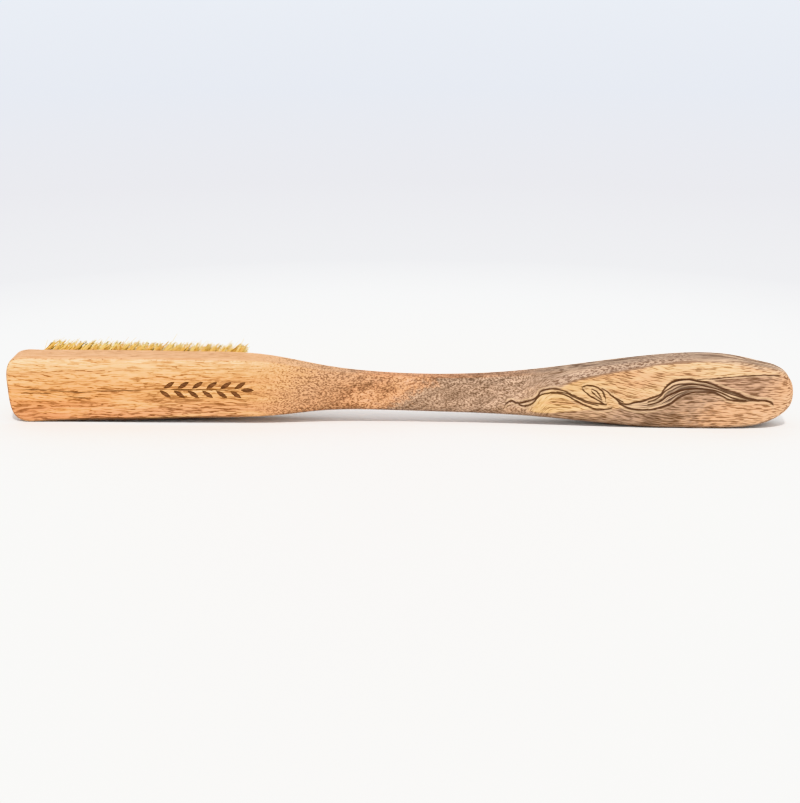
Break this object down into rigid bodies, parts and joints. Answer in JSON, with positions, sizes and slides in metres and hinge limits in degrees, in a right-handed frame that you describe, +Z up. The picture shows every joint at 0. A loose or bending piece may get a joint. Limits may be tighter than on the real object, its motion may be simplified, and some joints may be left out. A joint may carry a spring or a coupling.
{
  "type": "clothes brush",
  "caption": "Long-handled wooden clothes brush: slim flat head with rows of straight bristle tufts, narrow waist and swelling grip, resting on its long edge.",
  "frame": {"origin": "on the surface the brush stands on, below the centre of its bounding box", "axes": "+X from the head end to the grip end, +Y the way the bristles point, +Z up (the brush stands on its long edge)"},
  "size_m": [0.3301, 0.039, 0.0299],
  "materials": {
    "wood": "oiled hardwood, satin",
    "bristle": "natural straw-coloured bristle",
    "staple_wire": "drawn flat wire"
  },
  "bodies": {
    "root": {"wooden_stock": "wood", "bristle_tufts_01": "bristle", "bristle_tufts_02": "bristle", "bristle_tufts_03": "bristle", "bristle_tufts_04": "bristle", "bristle_tufts_05": "bristle", "bristle_tufts_06": "bristle", "bristle_tufts_07": "bristle", "bristle_tufts_08": "bristle", "bristle_tufts_09": "bristle", "bristle_tufts_10": "bristle", "bristle_tufts_11": "bristle", "bristle_tufts_12": "bristle", "bristle_tufts_13": "bristle", "bristle_tufts_14": "bristle", "bristle_tufts_15": "bristle", "bristle_tufts_16": "bristle", "bristle_tufts_17": "bristle", "bristle_tufts_18": "bristle", "bristle_tufts_19": "bristle", "bristle_tufts_20": "bristle", "bristle_tufts_21": "bristle", "bristle_tufts_22": "bristle", "staples_01": "staple_wire", "staples_02": "staple_wire", "staples_03": "staple_wire", "staples_04": "staple_wire", "staples_05": "staple_wire", "staples_06": "staple_wire", "staples_07": "staple_wire", "staples_08": "staple_wire", "staples_09": "staple_wire", "staples_10": "staple_wire", "staples_11": "staple_wire", "staples_12": "staple_wire", "staples_13": "staple_wire", "staples_14": "staple_wire", "staples_15": "staple_wire", "staples_16": "staple_wire", "staples_17": "staple_wire", "staples_18": "staple_wire", "staples_19": "staple_wire", "staples_20": "staple_wire", "staples_21": "staple_wire", "staples_22": "staple_wire"}
  },
  "joints": []
}
